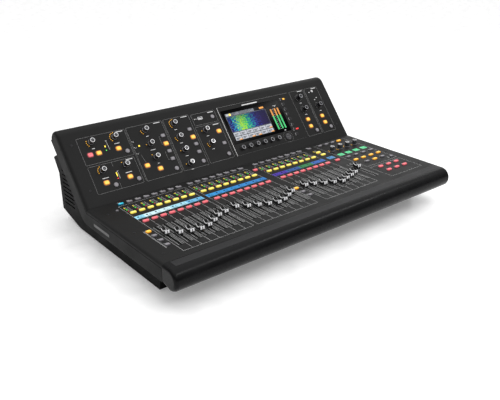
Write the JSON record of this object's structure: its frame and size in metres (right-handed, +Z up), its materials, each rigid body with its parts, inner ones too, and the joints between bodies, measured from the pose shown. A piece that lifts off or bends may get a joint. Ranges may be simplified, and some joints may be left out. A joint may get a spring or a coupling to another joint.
{
  "type": "mixing console",
  "caption": "Digital mixing console: flat fader surface with motor faders, raked control panel with display, rolled top edge, side cheeks and a full-width armrest.",
  "frame": {"origin": "on the table plane, under the middle of the bounding box", "axes": "+X to the operator's right, +Y from the front armrest to the rear panel, +Z up"},
  "size_m": [0.891, 0.602, 0.256],
  "materials": {
    "chassis_paint": "fine black powder coat",
    "cheek_paint": "satin dark grey",
    "armrest_paint": "satin dark grey",
    "fader_panel_paint": "matt dark grey",
    "upper_panel_paint": "matt charcoal",
    "display_glass": "glossy black",
    "module_metal": "plain",
    "circuit_board": "solder mask",
    "socket_plastic": "moulded black",
    "foot_rubber": "matt",
    "grey_keys": "translucent silicone",
    "yellow_keys": "lit translucent silicone",
    "pink_keys": "lit translucent silicone",
    "fader_caps": "silver with dark sides",
    "knobs": "satin black with silver ring"
  },
  "bodies": {
    "desk": {"bottom_pan": "chassis_paint", "rear_panel": "chassis_paint", "left_cheek": "cheek_paint", "right_cheek": "cheek_paint", "front_armrest": "armrest_paint", "fader_panel": "fader_panel_paint", "upper_panel": "upper_panel_paint", "display_glass": "display_glass", "display_module": "module_metal", "control_board": "circuit_board", "fader_board": "circuit_board", "main_board": "circuit_board", "power_supply": "module_metal", "rear_socket_bank": "socket_plastic", "mains_inlet": "socket_plastic", "foot_front_left": "foot_rubber", "foot_front_right": "foot_rubber", "foot_rear_left": "foot_rubber", "foot_rear_right": "foot_rubber"},
    "channel_fader_01": {"channel_fader_01": "fader_caps"},
    "channel_fader_02": {"channel_fader_02": "fader_caps"},
    "channel_fader_03": {"channel_fader_03": "fader_caps"},
    "channel_fader_04": {"channel_fader_04": "fader_caps"},
    "channel_fader_05": {"channel_fader_05": "fader_caps"},
    "channel_fader_06": {"channel_fader_06": "fader_caps"},
    "channel_fader_07": {"channel_fader_07": "fader_caps"},
    "channel_fader_08": {"channel_fader_08": "fader_caps"},
    "channel_fader_09": {"channel_fader_09": "fader_caps"},
    "channel_fader_10": {"channel_fader_10": "fader_caps"},
    "channel_fader_11": {"channel_fader_11": "fader_caps"},
    "channel_fader_12": {"channel_fader_12": "fader_caps"},
    "channel_fader_13": {"channel_fader_13": "fader_caps"},
    "channel_fader_14": {"channel_fader_14": "fader_caps"},
    "channel_fader_15": {"channel_fader_15": "fader_caps"},
    "channel_fader_16": {"channel_fader_16": "fader_caps"},
    "group_fader_1": {"group_fader_1": "fader_caps"},
    "group_fader_2": {"group_fader_2": "fader_caps"},
    "group_fader_3": {"group_fader_3": "fader_caps"},
    "group_fader_4": {"group_fader_4": "fader_caps"},
    "group_fader_5": {"group_fader_5": "fader_caps"},
    "group_fader_6": {"group_fader_6": "fader_caps"},
    "group_fader_7": {"group_fader_7": "fader_caps"},
    "group_fader_8": {"group_fader_8": "fader_caps"},
    "main_fader": {"main_fader": "fader_caps"},
    "gain_encoder": {"gain_encoder": "knobs"},
    "filter_encoder": {"filter_encoder": "knobs"},
    "gate_encoder": {"gate_encoder": "knobs"},
    "dynamics_encoder": {"dynamics_encoder": "knobs"},
    "eq_gain_encoder": {"eq_gain_encoder": "knobs"},
    "eq_frequency_encoder": {"eq_frequency_encoder": "knobs"},
    "eq_width_encoder": {"eq_width_encoder": "knobs"},
    "assign_encoder_1": {"assign_encoder_1": "knobs"},
    "assign_encoder_2": {"assign_encoder_2": "knobs"},
    "assign_encoder_3": {"assign_encoder_3": "knobs"},
    "assign_encoder_4": {"assign_encoder_4": "knobs"},
    "select_keys": {"select_keys": "grey_keys"},
    "solo_keys": {"solo_keys": "yellow_keys"},
    "mute_keys": {"mute_keys": "pink_keys"},
    "assign_keys": {"assign_keys": "grey_keys"},
    "power_switch": {"power_switch": "socket_plastic"}
  },
  "joints": [
    {"name": "channel_fader_01_slide", "type": "slide", "parent": "desk", "child": "channel_fader_01", "axis": [0, 1, 0], "range_m": [-0.061, 0.039]},
    {"name": "channel_fader_02_slide", "type": "slide", "parent": "desk", "child": "channel_fader_02", "axis": [0, 1, 0], "range_m": [-0.043, 0.057]},
    {"name": "channel_fader_03_slide", "type": "slide", "parent": "desk", "child": "channel_fader_03", "axis": [0, 1, 0], "range_m": [-0.034, 0.066]},
    {"name": "channel_fader_04_slide", "type": "slide", "parent": "desk", "child": "channel_fader_04", "axis": [0, 1, 0], "range_m": [-0.029, 0.071]},
    {"name": "channel_fader_05_slide", "type": "slide", "parent": "desk", "child": "channel_fader_05", "axis": [0, 1, 0], "range_m": [-0.033, 0.067]},
    {"name": "channel_fader_06_slide", "type": "slide", "parent": "desk", "child": "channel_fader_06", "axis": [0, 1, 0], "range_m": [-0.045, 0.055]},
    {"name": "channel_fader_07_slide", "type": "slide", "parent": "desk", "child": "channel_fader_07", "axis": [0, 1, 0], "range_m": [-0.06, 0.04]},
    {"name": "channel_fader_08_slide", "type": "slide", "parent": "desk", "child": "channel_fader_08", "axis": [0, 1, 0], "range_m": [-0.066, 0.034]},
    {"name": "channel_fader_09_slide", "type": "slide", "parent": "desk", "child": "channel_fader_09", "axis": [0, 1, 0], "range_m": [-0.071, 0.029]},
    {"name": "channel_fader_10_slide", "type": "slide", "parent": "desk", "child": "channel_fader_10", "axis": [0, 1, 0], "range_m": [-0.056, 0.044]},
    {"name": "channel_fader_11_slide", "type": "slide", "parent": "desk", "child": "channel_fader_11", "axis": [0, 1, 0], "range_m": [-0.045, 0.055]},
    {"name": "channel_fader_12_slide", "type": "slide", "parent": "desk", "child": "channel_fader_12", "axis": [0, 1, 0], "range_m": [-0.035, 0.065]},
    {"name": "channel_fader_13_slide", "type": "slide", "parent": "desk", "child": "channel_fader_13", "axis": [0, 1, 0], "range_m": [-0.027, 0.073]},
    {"name": "channel_fader_14_slide", "type": "slide", "parent": "desk", "child": "channel_fader_14", "axis": [0, 1, 0], "range_m": [-0.032, 0.068]},
    {"name": "channel_fader_15_slide", "type": "slide", "parent": "desk", "child": "channel_fader_15", "axis": [0, 1, 0], "range_m": [-0.044, 0.056]},
    {"name": "channel_fader_16_slide", "type": "slide", "parent": "desk", "child": "channel_fader_16", "axis": [0, 1, 0], "range_m": [-0.057, 0.043]},
    {"name": "group_fader_1_slide", "type": "slide", "parent": "desk", "child": "group_fader_1", "axis": [0, 1, 0], "range_m": [-0.063, 0.037]},
    {"name": "group_fader_2_slide", "type": "slide", "parent": "desk", "child": "group_fader_2", "axis": [0, 1, 0], "range_m": [-0.056, 0.044]},
    {"name": "group_fader_3_slide", "type": "slide", "parent": "desk", "child": "group_fader_3", "axis": [0, 1, 0], "range_m": [-0.042, 0.058]},
    {"name": "group_fader_4_slide", "type": "slide", "parent": "desk", "child": "group_fader_4", "axis": [0, 1, 0], "range_m": [-0.032, 0.068]},
    {"name": "group_fader_5_slide", "type": "slide", "parent": "desk", "child": "group_fader_5", "axis": [0, 1, 0], "range_m": [-0.023, 0.077]},
    {"name": "group_fader_6_slide", "type": "slide", "parent": "desk", "child": "group_fader_6", "axis": [0, 1, 0], "range_m": [-0.031, 0.069]},
    {"name": "group_fader_7_slide", "type": "slide", "parent": "desk", "child": "group_fader_7", "axis": [0, 1, 0], "range_m": [-0.038, 0.062]},
    {"name": "group_fader_8_slide", "type": "slide", "parent": "desk", "child": "group_fader_8", "axis": [0, 1, 0], "range_m": [-0.046, 0.054]},
    {"name": "main_fader_slide", "type": "slide", "parent": "desk", "child": "main_fader", "axis": [0, 1, 0], "range_m": [-0.07, 0.03]},
    {"name": "gain_encoder_turn", "type": "hinge", "parent": "desk", "child": "gain_encoder", "pos_m": [-0.37, 0.17658, 0.22873], "axis": [0, -0.7694, 0.6388], "continuous": true},
    {"name": "filter_encoder_turn", "type": "hinge", "parent": "desk", "child": "filter_encoder", "pos_m": [-0.306, 0.17658, 0.22873], "axis": [0, -0.7694, 0.6388], "continuous": true},
    {"name": "gate_encoder_turn", "type": "hinge", "parent": "desk", "child": "gate_encoder", "pos_m": [-0.37, 0.12707, 0.1691], "axis": [0, -0.7694, 0.6388], "continuous": true},
    {"name": "dynamics_encoder_turn", "type": "hinge", "parent": "desk", "child": "dynamics_encoder", "pos_m": [-0.306, 0.12707, 0.1691], "axis": [0, -0.7694, 0.6388], "continuous": true},
    {"name": "eq_gain_encoder_turn", "type": "hinge", "parent": "desk", "child": "eq_gain_encoder", "pos_m": [-0.218, 0.17658, 0.22873], "axis": [0, -0.7694, 0.6388], "continuous": true},
    {"name": "eq_frequency_encoder_turn", "type": "hinge", "parent": "desk", "child": "eq_frequency_encoder", "pos_m": [-0.218, 0.15166, 0.19872], "axis": [0, -0.7694, 0.6388], "continuous": true},
    {"name": "eq_width_encoder_turn", "type": "hinge", "parent": "desk", "child": "eq_width_encoder", "pos_m": [-0.218, 0.12707, 0.1691], "axis": [0, -0.7694, 0.6388], "continuous": true},
    {"name": "assign_encoder_1_turn", "type": "hinge", "parent": "desk", "child": "assign_encoder_1", "pos_m": [0.2975, 0.0045, 0.107], "axis": [0, 0, 1], "continuous": true},
    {"name": "assign_encoder_2_turn", "type": "hinge", "parent": "desk", "child": "assign_encoder_2", "pos_m": [0.3288, 0.0045, 0.107], "axis": [0, 0, 1], "continuous": true},
    {"name": "assign_encoder_3_turn", "type": "hinge", "parent": "desk", "child": "assign_encoder_3", "pos_m": [0.3602, 0.0045, 0.107], "axis": [0, 0, 1], "continuous": true},
    {"name": "assign_encoder_4_turn", "type": "hinge", "parent": "desk", "child": "assign_encoder_4", "pos_m": [0.3915, 0.0045, 0.107], "axis": [0, 0, 1], "continuous": true},
    {"name": "select_keys_press", "type": "slide", "parent": "desk", "child": "select_keys", "axis": [0, 0, 1], "range_m": [-0.001, 0], "stiffness_N_per_m": 2000, "springref_m": 0.0008},
    {"name": "solo_keys_press", "type": "slide", "parent": "desk", "child": "solo_keys", "axis": [0, 0, 1], "range_m": [-0.001, 0], "stiffness_N_per_m": 2000, "springref_m": 0.0008},
    {"name": "mute_keys_press", "type": "slide", "parent": "desk", "child": "mute_keys", "axis": [0, 0, 1], "range_m": [-0.001, 0], "stiffness_N_per_m": 2000, "springref_m": 0.0008},
    {"name": "assign_keys_press", "type": "slide", "parent": "desk", "child": "assign_keys", "axis": [0, 0, 1], "range_m": [-0.001, 0], "stiffness_N_per_m": 2000, "springref_m": 0.0008},
    {"name": "power_switch_rock", "type": "hinge", "parent": "desk", "child": "power_switch", "pos_m": [0.37, 0.278, 0.062], "axis": [1, 0, 0], "range_deg": [-18, 0]}
  ]
}
